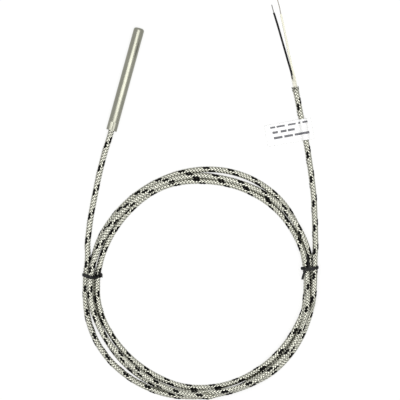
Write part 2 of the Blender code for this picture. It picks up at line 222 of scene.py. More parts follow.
# Roughly how high the middle of the cable is along the same way, in mm, before it is let settle.
TURN_HEIGHT = (
    (160, 1.7), (600, 1.7), (620, 3.5), (630, 5.3), (700, 5.3), (710, 7.4), (720, 6), (725, 5.2),
    (740, 5), (750, 3.5), (760, 1.7), (970, 1.7), (980, 2.8), (1060, 2.6), (1065, 3.4), (1070, 4.8),
    (1075, 4.2), (1080, 2.6), (1087, 1.7), (1095, 2.5), (1105, 5.1), (1380, 5.3), (1392, 2.8), (1422, 2.8),
    (1430, 4.2), (1440, 5.3), (1449, 4.4), (1455, 3), (1461, 2.2),
)
BLACK_CORE = (
    (94.1, 20.5, 1.9), (93, 22.4, 1.9), (91.9, 24.3, 1.6), (90.7, 26.4, 1.2), (89.3, 29, 0.8),
    (87.6, 31.8, 0.6), (85.7, 34.9, 0.58), (83.6, 38.4, 0.58), (81.5, 41.8, 0.58), (79.3, 45.4, 0.58),
    (77.1, 49, 0.58), (74.9, 52.6, 0.58), (73, 55.6, 0.58), (71, 58.7, 0.58),
)
WHITE_CORE = (
    (94.5, 20.8, 1.5), (93.6, 22.7, 1.5), (92.7, 24.6, 1.3), (91.7, 26.7, 1), (90.3, 29.4, 0.7),
    (88.8, 32.1, 0.58), (87.1, 35.3, 0.58), (85.3, 38.7, 0.58), (83.6, 42.2, 0.58), (81.9, 45.7, 0.58),
    (80, 49.5, 0.58), (78.1, 53.3, 0.58), (76, 57.2, 0.58), (75, 59, 0.58),
)
BLACK_CORE_BARE = ((71.3, 58.2, 0.5), (70.9, 58.9, 0.42), (69.9, 60.6, 0.32), (68.6, 62.8, 0.29))
WHITE_CORE_BARE = (
    (75.3, 58.5, 0.5), (74.6, 59.9, 0.42), (73.1, 62.9, 0.32), (71.3, 66.0, 0.29), (70.4, 67.8, 0.29),
)

# The pale wrap's collar: mm past the end of the braid, and its radius there in mm.
COLLAR = (
    (-2.4, 1.05), (-1.6, 1.15), (-0.8, 1.2), (0.0, 1.2), (0.5, 1.15), (1.0, 1.05), (1.5, 0.85), (2.0, 0.55),
)
# Its loose fibres: how far round from the top they start, in radians, and how far they reach, in mm.
WRAP_FIBRES = 40
FIBRE_TURN = 1.9
FIBRE_REACH = (3.0, 8.2)
FIBRE_RADII = (0.17, 0.07)
FIBRE_LOWEST = 0.15 * MM
# The cut ends of the braid's wires: how far they reach past it, sideways and out from its middle, in mm.
WIRE_TIPS = 34
TIP_R = 0.085 * MM
TIP_REACH = (0.3, 1.1)
TIP_SWAY = (0.5, 1.3)
TIP_OUT = (1.7, 2.15)
TIP_LOWEST = 0.12 * MM

# Camera and light. A lamp has a name, a place from the middle of the part, its side in metres, and watts.
CAMERA_PLACE = (58.72 * MM, -54.65 * MM, 1.2)
SENSOR_WIDTH = 36
SCALED_HEIGHT = 2 * MM
LIT_MIDDLE = (59.0 * MM, -55.0 * MM, 0.0)
LAMPS = (
    ("top_softbox", (-0.06, 0.02, 0.75), 0.62, 3.6),
    ("side_softbox", (0.33, -0.14, 0.75), 0.4, 1.35),
)

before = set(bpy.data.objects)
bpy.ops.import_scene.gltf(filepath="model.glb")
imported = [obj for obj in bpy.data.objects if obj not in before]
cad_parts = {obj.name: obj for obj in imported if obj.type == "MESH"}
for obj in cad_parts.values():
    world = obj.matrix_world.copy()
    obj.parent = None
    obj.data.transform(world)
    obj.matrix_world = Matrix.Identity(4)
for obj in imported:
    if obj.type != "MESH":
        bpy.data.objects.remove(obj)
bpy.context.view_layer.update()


def deselect():
    """Leaves no object selected."""
    bpy.ops.object.select_all(action="DESELECT")


def colour(code):
    """An sRGB hex colour as linear red, green and blue, with alpha 1."""
    parts = [int(code[i:i + 2], 16) / 255 for i in (1, 3, 5)]
    return (*(p / 12.92 if p <= 0.04045 else ((p + 0.055) / 1.055) ** 2.4 for p in parts), 1.0)


def add_node(tree, kind, inputs=None, **settings):
    """Adds a node, with its settings, and sets or links its inputs by name or number."""
    node = tree.nodes.new(kind)
    for name, value in settings.items():
        setattr(node, name, value)
    for key, value in (inputs or {}).items():
        if isinstance(value, bpy.types.NodeSocket):
            tree.links.new(value, node.inputs[key])
        else:
            node.inputs[key].default_value = value
    return node


def new_material(name, base, roughness, metallic=0.0):
    """A material with its Principled shader, ready for more nodes."""
    material = bpy.data.materials.new(name)
    material.use_nodes = True
    shader = material.node_tree.nodes["Principled BSDF"]
    shader.inputs["Base Color"].default_value = colour(base)
    shader.inputs["Roughness"].default_value = roughness
    shader.inputs["Metallic"].default_value = metallic
    return material, material.node_tree, shader


def work_out(tree, operation, *values, **settings):
    """The result of one sum on the given values."""
    values = dict(enumerate(values))
    return add_node(tree, "ShaderNodeMath", values, operation=operation, **settings).outputs["Value"]


def noise(tree, where, scale, detail):
    """Soft noise of the given scale."""
    settings = {"Vector": where, "Scale": scale, "Detail": detail}
    return add_node(tree, "ShaderNodeTexNoise", settings).outputs["Fac"]


def spread(tree, value, low, high, first=0.0, last=1.0):
    """A value that runs from first to last, spread out from low to high."""
    settings = {"Value": value, "From Min": first, "From Max": last, "To Min": low, "To Max": high}
    return add_node(tree, "ShaderNodeMapRange", settings).outputs["Result"]


def mapped(tree, where, settings):
    """A place after it is scaled, turned and moved."""
    return add_node(tree, "ShaderNodeMapping", {"Vector": where, **settings}).outputs["Vector"]


def own_place(tree):
    """Where a point is in its piece's own coordinates, in metres."""
    return add_node(tree, "ShaderNodeTexCoord").outputs["Object"]


def mix_colours(tree, share, first, second):
    """From the first colour at share 0 to the second at share 1."""
    mix = add_node(tree, "ShaderNodeMix", {0: share, 6: first, 7: second}, data_type="RGBA")
    return mix.outputs[2]


def finish_material(tree, shader, tint, height, strength, depth):
    """Gives the shader its colour and a bump of the given depth in metres."""
    bump = add_node(tree, "ShaderNodeBump", {"Height": height, "Strength": strength, "Distance": depth})
    tree.links.new(tint, shader.inputs["Base Color"])
    tree.links.new(bump.outputs["Normal"], shader.inputs["Normal"])


def drawn_stainless():
    """Stainless tube, drawn and lightly polished: fine lines along the tube, a soft warm grey gleam."""
    material, tree, shader = new_material("drawn_stainless", "#8F8F83", 0.27, 1.0)
    where = own_place(tree)
    # Draw lines are about 0.15 mm apart across the tube and run for centimetres along it.
    lines = noise(tree, mapped(tree, where, {"Scale": (6500, 60, 6500)}), 1.0, 3.0)
    # Patches of about 7 mm are a shade lighter or darker.
    tint = mix_colours(tree, noise(tree, where, 140.0, 2.0), colour("#838378"), colour("#929286"))
    # Painted reflection: one dark streak, about 12 mm long and 0.6 mm wide, on the right of the tip.
    streak_place = mapped(tree, where, {"Location": (-5.6, -2.6, -3.0), "Scale": (2900, 145, 600)})
    reach = add_node(tree, "ShaderNodeVectorMath", {0: streak_place}, operation="LENGTH")
    painted_streak = spread(tree, reach.outputs["Value"], 0.75, 0.0, 0.5, 1.0)
    tint = mix_colours(tree, painted_streak, tint, colour("#4A4A43"))
    tree.links.new(spread(tree, lines, 0.22, 0.34, 0.3, 0.7), shader.inputs["Roughness"])
    finish_material(tree, shader, tint, lines, 0.12, 0.00002)
    return material


def braid_wire(name, base, shade_tint, roughness, metallic):
    """A flat bunch of fine wires laid side by side: fine ridges along it, and painted shade where it dips
    under and down its sides.
    """
    material, tree, shader = new_material(name, base, roughness, metallic)
    lay = add_node(tree, "ShaderNodeUVMap", uv_map="lay")
    # Five ridges across each bunch, about 0.2 mm apart. Real wires are nearer 0.12 mm, too fine to show.
    across = add_node(tree, "ShaderNodeSeparateXYZ", {"Vector": lay.outputs["UV"]})
    phase = work_out(tree, "MULTIPLY", across.outputs["X"], 5 * math.pi)
    height = work_out(tree, "ABSOLUTE", work_out(tree, "SINE", phase))
    # Painted shade: 1 on the crown of a bunch on top, less down its sides, 0 where it dips under.
    unshaded = add_node(tree, "ShaderNodeAttribute", attribute_name="unshaded")
    # The painted shade comes and goes in patches of about 1 mm.
    share = work_out(tree, "SUBTRACT", noise(tree, own_place(tree), 900.0, 2.0), 0.5)
    share = work_out(tree, "MULTIPLY_ADD", share, 0.9, unshaded.outputs["Fac"], use_clamp=True)
    tint = mix_colours(tree, share, colour(shade_tint), colour(base))
    finish_material(tree, shader, tint, height, 0.35, 0.00004)
    if metallic == 0.0:
        shader.inputs["Specular IOR Level"].default_value = 0.1
    return material


def glass_sleeving(name, base, dark, roughness):
    """Braided and varnished glass-fibre sleeving: a fine diamond weave with a faint sheen."""
    material, tree, shader = new_material(name, base, roughness)
    lay = add_node(tree, "ShaderNodeUVMap", uv_map="lay")
    # The threads lie 0.75 mm apart. Real ones are nearer 0.3 mm, too fine to show from here.
    both = []
    for turn in (1, -1):
        slant = mapped(tree, lay.outputs["UV"], {"Rotation": (0, 0, turn * math.radians(40))})
        settings = {"Vector": slant, "Scale": 420.0, "Distortion": 0.4, "Detail": 1.0}
        both.append(add_node(tree, "ShaderNodeTexWave", settings).outputs["Fac"])
    weave = work_out(tree, "MAXIMUM", *both)
    shader.inputs["Specular IOR Level"].default_value = 0.2
    tint = mix_colours(tree, weave, colour(dark), colour(base))
    finish_material(tree, shader, tint, weave, 0.35, 0.00005)
    return material


def drawn_wire(name, base, roughness):
    """Bare drawn conductor: satin metal whose gloss changes in specks of 0.4 mm."""
    material, tree, shader = new_material(name, base, roughness, 1.0)
    speck = noise(tree, own_place(tree), 2500.0, 2.0)
    rough = spread(tree, speck, roughness - 0.08, roughness + 0.1)
    tree.links.new(rough, shader.inputs["Roughness"])
    return material


def grainy(name, base, dark, roughness, size, metallic=0.0, depth=0.00005):
    """A matt solid with grains of the given size in metres."""
    material, tree, shader = new_material(name, base, roughness, metallic)
    grain = noise(tree, own_place(tree), 1 / size, 4.0)
    tint = mix_colours(tree, grain, colour(dark), colour(base))
    finish_material(tree, shader, tint, grain, 0.4, depth)
    return material


def add_piece(name, mesh, materials):
    """Puts a mesh in the scene as a smooth piece."""
    for material in materials:
        mesh.materials.append(material)
    mesh.shade_smooth()
    piece = bpy.data.objects.new(name, mesh)
    bpy.context.scene.collection.objects.link(piece)
    return piece


def new_piece(name, points, faces, materials):
    """A smooth piece from points and faces."""
    mesh = bpy.data.meshes.new(name)
    mesh.from_pydata([tuple(p) for p in points], [], faces)
    return add_piece(name, mesh, materials)


def eased(table, at):
    """A table read at each place in at, smoothly through its rows."""
    places = np.array([row[0] for row in table], float)
    values = np.array([row[1] for row in table], float)
    slopes = np.gradient(values, places)
    i = np.clip(np.searchsorted(places, at, side="right") - 1, 0, len(places) - 2)
    span = places[i + 1] - places[i]
    t = np.clip((at - places[i]) / span, 0, 1)
    return (
        (1 + 2 * t) * (1 - t) ** 2 * values[i] + t * (1 - t) ** 2 * span * slopes[i]
        + t * t * (3 - 2 * t) * values[i + 1] + t * t * (t - 1) * span * slopes[i + 1]
    )


def push_apart(distance, height, lag, apart):
    """Moves points of the coil off each other where one, lag places further on, is nearer than apart."""
    low = slice(0, len(distance) - lag)
    high = slice(lag, None)
    across = distance[high] - distance[low]
    up = height[high] - height[low]
    gap = np.sqrt(across ** 2 + up ** 2) + TINY
    push = np.maximum(apart - gap, 0) / gap
    # Side by side, both give way alike. Otherwise the upper one gives way more.
    share = np.where(np.abs(up) < LEVEL_WITHIN, 0.5, np.where(up > 0, LOWER_GIVES, UPPER_GIVES))
    distance[low] -= push * across * 0.5 * PUSH_ASIDE
    distance[high] += push * across * 0.5 * PUSH_ASIDE
    height[low] -= push * up * share
    height[high] += push * up * (1 - share)


def settle_turns():
    """Lets the turns come to rest on each other: distances from the middle of the coil and heights, in mm."""
    angles = np.arange(FIRST_ANGLE, LAST_ANGLE, 1.0)
    wanted = eased(TURN_DISTANCE, angles)
    distance = wanted.copy()
    places, heights = zip(*TURN_HEIGHT)
    height = np.interp(angles, places, heights)
    # The bands of the ties pass under the turns and lift them.
    nearest = [np.abs((angles - tie + 180) % 360 - 180) for tie in (LEFT_TIE, RIGHT_TIE)]
    floor = CABLE_R / MM + TIE_LIFT * sum(np.exp(-(n / TIE_REACH) ** 2) for n in nearest)
    for settling in range(SETTLE_ROUNDS):
        height -= SINK_EACH_ROUND
        for values in (distance, height):
            bend = values[:-2] + values[2:] - 2 * values[1:-1]
            values[1:-1] += STRAIGHTEN * bend
        distance += PULL_BACK * (wanted - distance)
        for pushing in range(PUSH_ROUNDS):
            for laps in (1, 2, 3):
                push_apart(distance, height, 360 * laps, CABLE_D / MM - TURN_PRESS)
            height = np.maximum(height, floor)
    return angles, distance, height


def beside_coil(angle, distance, height):
    """A point at an angle round the coil, a distance from its middle and a height, in metres."""
    turn = math.radians(angle + COIL_LEAN)
    x = COIL_MIDDLE[0] + distance * math.cos(turn)
    y = COIL_MIDDLE[1] + distance * math.sin(turn)
    return Vector((x, y, height))


def heading(angle):
    """The level direction at an angle round the coil."""
    way = beside_coil(angle, 1.0, 0.0) - beside_coil(0, 0, 0)
    return Vector((way.x, way.y, 0)).normalized()


def lengths_along(line):
    """How far along a line each of its points is."""
    return np.concatenate([[0], np.cumsum(np.linalg.norm(np.diff(line, axis=0), axis=1))])


def points_at(places, along, line):
    """The points of a line at the given places along it."""
    return np.stack([np.interp(places, along, column) for column in line.T], axis=1)


def smooth_line(points, step, soften=0):
    """Points an even step apart on a smooth line through the given points."""
    knots = np.array(points, float)
    knots = np.vstack([2 * knots[0] - knots[1], knots, 2 * knots[-1] - knots[-2]])
    fine = []
    for a, b, c, d in zip(knots, knots[1:], knots[2:], knots[3:]):
        t = np.linspace(0, 1, 12, endpoint=False)[:, None]
        square = (2 * a - 5 * b + 4 * c - d) * t ** 2
        cube = (3 * b - a - 3 * c + d) * t ** 3
        fine.append(0.5 * (2 * b + (c - a) * t + square + cube))
    fine = np.vstack([*fine, knots[-2][None]])
    for evening in range(2):
        along = lengths_along(fine)
        count = int(round(along[-1] / step)) + 1
        fine = points_at(np.linspace(0, along[-1], count), along, fine)
        for softening in range(soften):
            fine[1:-1] += 0.25 * (fine[:-2] + fine[2:] - 2 * fine[1:-1])
    return fine


def cable_line(turns, step):
    """The middle line of the whole cable, in metres, a step apart."""
    angles, distance, height = turns
    coil = [beside_coil(a, d * MM, h * MM) for a, d, h in zip(angles, distance, height)]
    lead = [Vector(p) * MM for p in PROBE_LEAD]
    tail = [Vector(p) * MM for p in TAIL_LEAD]
    return smooth_line([*lead, *coil, *tail], step, soften=60)


def crossings_along(line, step):
    """Where along a line the bunches cross: points, their numbers, and the twist there in radians."""
    along = lengths_along(line)
    places, ahead, degrees = (np.array(column, float) for column in zip(*BRAID_LAY))
    number = along / step + np.interp(along / MM, places, ahead)
    numbers = np.arange(math.ceil(number[0]), math.floor(number[-1]) + 1)
    at = np.interp(numbers, number, along)
    return points_at(at, along, line), numbers, np.radians(np.interp(at / MM, places, degrees))


def line_frames(line):
    """Along, up and across directions at each point of a line."""
    along = np.gradient(line, axis=0)
    along /= np.linalg.norm(along, axis=1, keepdims=True)
    across = np.cross(along, (0.0, 0.0, 1.0))
    across /= np.linalg.norm(across, axis=1, keepdims=True)
    up = np.cross(across, along)
    return along, up, across


def rings_round(line, up, across, radii, sides):
    """Points in rings round a line, with a radius for each ring."""
    turn = np.linspace(0, 2 * math.pi, sides, endpoint=False)
    ring = up[:, None, :] * np.cos(turn)[None, :, None] + across[:, None, :] * np.sin(turn)[None, :, None]
    return (line[:, None, :] + ring * radii[:, None, None]).reshape(-1, 3)


def tube_round(name, line, radii, sides, materials, with_lay=False):
    """A round tube along a line, its radius given at each point."""
    up, across = line_frames(line)[1:]
    radii = np.broadcast_to(np.asarray(radii, float), (len(line),))
    faces = []
    for i in range(len(line) - 1):
        for j in range(sides):
            k = (j + 1) % sides
            faces.append((i * sides + j, (i + 1) * sides + j, (i + 1) * sides + k, i * sides + k))
    faces.append(tuple(range(sides)))
    faces.append(tuple(reversed(range((len(line) - 1) * sides, len(line) * sides))))
    piece = new_piece(name, rings_round(line, up, across, radii, sides), faces, materials)
    piece.data.set_sharp_from_angle(angle=math.radians(50))
    if with_lay:
        add_lay(piece.data, lengths_along(line), radii, sides)
    return piece


def add_lay(mesh, lengths, radii, sides):
    """A UV map of a tube in metres: how far round it and how far along it."""
    layer = mesh.uv_layers.new(name="lay")
    for polygon in mesh.polygons:
        wraps = any(mesh.loops[l].vertex_index % sides == sides - 1 for l in polygon.loop_indices)
        for l in polygon.loop_indices:
            ring, side = divmod(mesh.loops[l].vertex_index, sides)
            if wraps and side == 0:
                side = sides
            layer.data[l].uv = (side / sides * 2 * math.pi * radii[ring], lengths[ring])


def bunch_lines(line, frames, steps, roll, radius, way, carrier, black):
    """Four lines of points along one flat bunch of wire, and how free of painted shade each point is.

    way is 1 for the bunches that wind one way and -1 for the others. A bunch lies on top at two crossings and
    beneath at the next two. Side by side, bunches alternate.
    """
    along, up, across = frames
    angle = way * 2 * math.pi * steps / CROSSINGS + 2 * math.pi * carrier / CARRIERS + roll
    over = np.isin((2 * carrier + way * steps) % 4, (0, 1)) == (way == 1)
    level = radius - np.where(over, 0.0, RIBBON_RISE) + (TRACER_RAISE if black else 0.0)
    width = TRACER_WIDTH if black else RIBBON_WIDTH
    points = []
    unshaded_share = []
    for place, drop in BUNCH_LINES:
        # Across a bunch is mostly round the cable and partly along it.
        theta = angle + place * width * math.cos(BRAID_SLOPE) / radius
        shift = -way * place * width * math.sin(BRAID_SLOPE)
        outward = up * np.cos(theta)[:, None] + across * np.sin(theta)[:, None]
        points.append(line + outward * (level - drop)[:, None] + along * shift)
        # Painted shade: none of a bunch's own colour where it dips under, and less of it down its sides.
        unshaded_share.append(np.where(over, 1.0, 0.0) * (1 - SIDE_SHADE * drop / RIBBON_CROWN))
    return points, unshaded_share


def quad_piece(name, points, quads, numbers, uvs, unshaded, materials):
    """A smooth piece of quads, each with a material's number and corners on the lay map."""
    mesh = bpy.data.meshes.new(name)
    mesh.vertices.add(len(points))
    mesh.vertices.foreach_set("co", points.ravel())
    mesh.loops.add(quads.size)
    mesh.loops.foreach_set("vertex_index", quads.ravel())
    mesh.polygons.add(len(quads))
    mesh.polygons.foreach_set("loop_start", np.arange(0, quads.size, 4))
    mesh.polygons.foreach_set("material_index", numbers.astype(np.int32))
    mesh.update(calc_edges=True)
    mesh.uv_layers.new(name="lay").data.foreach_set("uv", uvs.ravel())
    # Each point's share free of painted shade, read by the braid's colour.
    mesh.attributes.new("unshaded", "FLOAT", "POINT").data.foreach_set("value", unshaded.astype(np.float32))
    return add_piece(name, mesh, materials)


def weave_braid(name, line, steps, roll, tracer, radius, materials):
    """The wire braid round a line: a near-black lining that is painted shade for the gaps, and sixteen flat
    bunches of wire, over two and under two.

    steps are the numbers of the crossings at its points, and roll is the twist there, in radians.
    """
    frames = line_frames(line)
    count = len(line)
    points = []
    unshaded_share = []
    quads = []
    numbers = []
    uvs = []
    v = steps[:-1] / 4.0
    for way in (1, -1):
        for carrier in range(CARRIERS):
            black = way == 1 and carrier in tracer
            start = len(points) * count
            lines, unshaded_shares = bunch_lines(line, frames, steps, roll, radius, way, carrier, black)
            points += lines
            unshaded_share += unshaded_shares
            index = start + np.arange(len(lines) * count).reshape(-1, count)
            for k in range(len(lines) - 1):
                corners = index[k, :-1], index[k + 1, :-1], index[k + 1, 1:], index[k, 1:]
                quads.append(np.stack(corners, axis=1))
                numbers.append(np.full(count - 1, 1 if black else 0))
                low, high = (np.full(count - 1, 0.5 + BUNCH_LINES[n][0]) for n in (k, k + 1))
                corners = (low, v), (high, v), (high, v + 0.25), (low, v + 0.25)
                uvs.append(np.stack([np.stack(corner, 1) for corner in corners], axis=1))
    # The lining, painted shade for the gaps, is a plain tube with a ring at every other crossing.
    up, across = (directions[::2] for directions in frames[1:])
    inside = (radius - RIBBON_RISE - RIBBON_CROWN + LINING_RAISE)[::2]
    lining = rings_round(line[::2], up, across, inside, LINING_SIDES)
    grid = len(points) * count + np.arange(len(lining)).reshape(-1, LINING_SIDES)
    a = grid[:-1]
    b = grid[1:]
    lining_quads = np.stack([a, b, np.roll(b, -1, axis=1), np.roll(a, -1, axis=1)], axis=2).reshape(-1, 4)
    return quad_piece(
        name, np.vstack([*points, lining]), np.vstack([*quads, lining_quads]),
        np.concatenate([*numbers, np.full(len(lining_quads), 2)]),
        np.vstack([*uvs, np.zeros((len(lining_quads), 4, 2))]),
        np.concatenate([*unshaded_share, np.zeros(len(lining))]), materials,
    )


def skin(name, rings, materials, closed=False):
    """Quads between rings of points, capped at both ends unless the last ring meets the first."""
    sides = len(rings[0])
    points = [p for ring in rings for p in ring]
    faces = []
    count = len(rings)
    for i in range(count if closed else count - 1):
        a = i * sides
        b = (i + 1) % count * sides
        for j in range(sides):
            k = (j + 1) % sides
            faces.append((a + j, a + k, b + k, b + j))
    if not closed:
        faces.append(tuple(reversed(range(sides))))
        faces.append(tuple(range((count - 1) * sides, count * sides)))
    piece = new_piece(name, points, faces, materials)
    shape = bmesh.new()
    shape.from_mesh(piece.data)
    bmesh.ops.recalc_face_normals(shape, faces=shape.faces)
    shape.to_mesh(piece.data)
    shape.free()
    piece.data.set_sharp_from_angle(angle=math.radians(40))
    return piece


def make_active(piece):
    """Selects one piece alone and makes it the active one."""
    deselect()
    piece.select_set(True)
    bpy.context.view_layer.objects.active = piece


def apply_modifier(piece, kind, **settings):
    """Adds a modifier to the active piece and applies it."""
    modifier = piece.modifiers.new(kind, kind)
    for name, value in settings.items():
        setattr(modifier, name, value)
    bpy.ops.object.modifier_apply(modifier=kind)


def join(name, parts):
    """Makes one piece of several."""
    make_active(parts[0])
    for part in parts:
        part.select_set(True)
    bpy.ops.object.join()
    parts[0].name = name
    return parts[0]


def set_mode(mode):
    """Opens or closes the active piece for editing."""
    bpy.ops.object.mode_set(mode=mode)


def select_mesh(action):
    """Selects all or nothing of the piece that is open for editing."""
    bpy.ops.mesh.select_all(action=action)


def extrude_along(depth):
    """Extrudes what is selected along the sleeve."""
    bpy.ops.mesh.extrude_region_move(TRANSFORM_OT_translate={"value": (0, depth, 0)})


def edit_faces(piece, chosen):
    """Opens a piece in edit mode with only the chosen faces selected."""
    bpy.context.view_layer.objects.active = piece
    set_mode("EDIT")
    bpy.ops.mesh.select_mode(type="FACE")
    select_mesh("DESELECT")
    set_mode("OBJECT")
    for polygon in piece.data.polygons:
        polygon.select = chosen(polygon)
    set_mode("EDIT")


def crimp_cutter():
    """A six-sided shell round the mouth, to be cut off the sleeve, with a fine ridge along each flat."""
    middle = (0, -SLEEVE_HALF - CUTTER_START, SLEEVE_R)
    deselect()
    across = CRIMP_FLATS / 2 / math.cos(math.pi / 6)
    bpy.ops.mesh.primitive_circle_add(vertices=6, radius=across, location=middle)
    cutter = bpy.context.object
    cutter.rotation_euler = (math.pi / 2, math.radians(30), 0)
    bpy.ops.object.transform_apply(location=True, rotation=True, scale=True)
    set_mode("EDIT")
    select_mesh("SELECT")
    bpy.ops.mesh.subdivide(number_cuts=7)
    bpy.ops.mesh.select_mode(type="VERT")
    select_mesh("DESELECT")
    set_mode("OBJECT")
    # The middle of each flat is the nearest to the axis.
    for vertex in cutter.data.vertices:
        vertex.select = math.hypot(vertex.co.x, vertex.co.z - SLEEVE_R) < CRIMP_FLATS / 2 + 0.01 * MM
    set_mode("EDIT")
    bpy.ops.transform.resize(value=(CRIMP_GROOVE, 1.0, CRIMP_GROOVE), center_override=middle)
    bpy.ops.mesh.select_mode(type="EDGE")
    select_mesh("SELECT")
    bpy.ops.mesh.extrude_edges_move(TRANSFORM_OT_translate={"value": (0, 0, 0)})
    bpy.ops.transform.resize(value=(2.0, 1.0, 2.0), center_override=middle)
    select_mesh("SELECT")
    extrude_along(CRIMP_LENGTH + CUTTER_START)
    select_mesh("SELECT")
    bpy.ops.mesh.normals_make_consistent(inside=False)
    set_mode("OBJECT")
    return cutter


def build_sleeve():
    """Steel tube: closed and rounded at the tip, crimped to six sides at the mouth."""
    deselect()
    bpy.ops.mesh.primitive_cylinder_add(
        vertices=96, radius=SLEEVE_R, depth=2 * SLEEVE_HALF, end_fill_type="NGON", location=(0, 0, SLEEVE_R),
        rotation=(-math.pi / 2, 0, 0),
    )
    sleeve = bpy.context.object
    sleeve.name = "steel_sleeve"
    bpy.ops.object.transform_apply(location=True, rotation=True, scale=True)
    edit_faces(sleeve, lambda polygon: polygon.normal.y > 0.9)
    bpy.ops.mesh.bevel(offset=TIP_ROUND, segments=8, affect="EDGES")
    set_mode("OBJECT")
    edit_faces(sleeve, lambda polygon: polygon.normal.y < -0.9)
    # The bore: narrow round the cable, wider beyond it, as far as the closed tip.
    bpy.ops.mesh.inset(thickness=SLEEVE_R - CABLE_BORE)
    extrude_along(CRIMP_LENGTH + BORE_STEP)
    bpy.ops.mesh.inset(thickness=-(SLEEVE_BORE - CABLE_BORE))
    extrude_along(WIDE_BORE)
    set_mode("OBJECT")
    cutter = crimp_cutter()
    make_active(sleeve)
    apply_modifier(sleeve, "BOOLEAN", operation="DIFFERENCE", solver="EXACT", object=cutter)
    bpy.data.objects.remove(cutter)
    apply_modifier(
        sleeve, "BEVEL", width=WALL_EDGE, segments=2, limit_method="ANGLE", angle_limit=math.radians(25)
    )
    bpy.ops.object.shade_smooth_by_angle(angle=math.radians(28))
    sleeve.data.materials.clear()
    sleeve.data.materials.append(steel)
    return sleeve


def build_core(name, route, node, material):
    """One sleeved core, from just inside the end of the braid."""
    path = smooth_line(np.array(route) * MM, 0.5 * MM, soften=2)
    rng = np.random.default_rng(len(name))
    knots = len(path) // 6 + 2
    uneven = np.interp(np.arange(len(path)), 6 * np.arange(knots), rng.standard_normal(knots))
    core = tube_round(name, path, CORE_D / 2 * (1 + CORE_WOBBLE * uneven), 20, [material], with_lay=True)
    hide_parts(node)
    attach(core, "root")
    return core, path, float(lengths_along(path)[-1])


def build_bare_end(name, route, node, material):
    """The bare end of one conductor."""
    path = smooth_line(np.array(route) * MM, 0.3 * MM, soften=1)
    bare = tube_round(name, path, WIRE_D / 2, 14, [material])
    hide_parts(node)
    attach(bare, "root")
    return bare


def build_wrap(line):
    """The pale glass wrap where the braid ends: a soft collar and loose fibres lying along the cores."""
    along, up, across = line_frames(line)
    end = line[-1]
    ahead = along[-1]
    places, radii = zip(*COLLAR)
    collar_line = np.array([end + ahead * (place * MM) for place in places])
    parts = [tube_round("collar", collar_line, np.array(radii) * MM, 24, [wrap_yarn])]
    rng = np.random.default_rng(7)
    routes = (np.array(BLACK_CORE[2:9]) * MM, np.array(WHITE_CORE[2:9]) * MM)
    for i in range(WRAP_FIBRES):
        turn = rng.uniform(-FIBRE_TURN, FIBRE_TURN)
        out = up[-1] * math.cos(turn) + across[-1] * math.sin(turn)
        reach = rng.uniform(*FIBRE_REACH) * MM
        target = smooth_line(routes[i % 2], 0.6 * MM)
        far = target[np.argmin(np.abs(np.linalg.norm(target - end, axis=1) - reach))]
        first = end - ahead * (1.5 * MM) + out * (1.12 * MM)
        second = end + ahead * (0.6 * MM) + out * (1.1 * MM)
        third = (second + far) / 2 + out * (0.25 * MM)
        last = far + out * rng.uniform(0.5, 0.85) * MM
        for point in (first, second, third, last):
            point[2] = max(point[2], FIBRE_LOWEST)
        fibre = smooth_line([first, second, third, last], 0.5 * MM)
        thick = np.linspace(*FIBRE_RADII, len(fibre)) * MM
        parts.append(tube_round("fibre", fibre, thick, 6, [wrap_yarn]))
    wrap = join("glass_wrap_end", parts)
    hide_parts("inner_wrap")
    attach(wrap, "root")
    return wrap


def build_wire_tips(line):
    """Cut ends of the braid's wires, bent out a little where the braid stops."""
    along, up, across = line_frames(line)
    end = line[-1]
    ahead = along[-1]
    rng = np.random.default_rng(11)
    parts = []
    for i in range(WIRE_TIPS):
        turn = 2 * math.pi * i / WIRE_TIPS + rng.uniform(-0.08, 0.08)
        out = up[-1] * math.cos(turn) + across[-1] * math.sin(turn)
        side = -up[-1] * math.sin(turn) + across[-1] * math.cos(turn)
        sway = (0.5 if i % 2 else -0.5) * rng.uniform(*TIP_SWAY) * MM
        reach = rng.uniform(*TIP_REACH) * MM
        first = end - ahead * (1.2 * MM) + out * (1.62 * MM) - side * sway
        second = end + out * (1.84 * MM)
        third = end + ahead * reach + out * rng.uniform(*TIP_OUT) * MM + side * sway
        for point in (first, second, third):
            point[2] = max(point[2], TIP_LOWEST)
        tip = smooth_line([first, second, third], 0.25 * MM)
        parts.append(tube_round("tip", tip, TIP_R, 6, [wire]))
    tips = join("braid_wire_tips", parts)
    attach(tips, "root")
    return tips


def leaf_offset(a):
    """How far a leaf of the label stands off their middle plane, a metres from the middle of the cable."""
    # Over the cable the film stands clear of it and comes down on both sides.
    over = math.sqrt(max(LABEL_ROUND ** 2 - a * a, 0.0))
    foot = math.exp(-(max(abs(a) - LABEL_ROUND, 0) / FOOT_REACH) ** 2)
    return math.hypot(over, LEAF_OFF + FOOT_OFF * foot)


def label_wave(u, v, a):
    """How far the label is bent, at shares u and v of its length and height, a metres from the cable."""
    wave = LONG_WAVE * math.sin(2.6 * u * math.pi + 0.6) * (1 - 0.5 * v)
    wave += CROSS_WAVE * math.sin(5.0 * (v - 0.2)) * (1 - u)
    return wave * min(1.0, max(0.0, (abs(a) - WAVE_START) / WAVE_GROWTH))


def print_bars(film, uv):
    """Gives the cells of the upper leaf that lie in a bar the material of the print."""
    for polygon in film.data.polygons:
        u, v = (sum(uv[i][k] for i in polygon.vertices) / len(polygon.vertices) for k in (0, 1))
        u *= LABEL_LENGTH / MM
        v *= LABEL_HEIGHT / MM
        for low, high, bars in PRINT_ROWS:
            if low < v < high and any(start < u < stop for start, stop in bars):
                polygon.material_index = 1


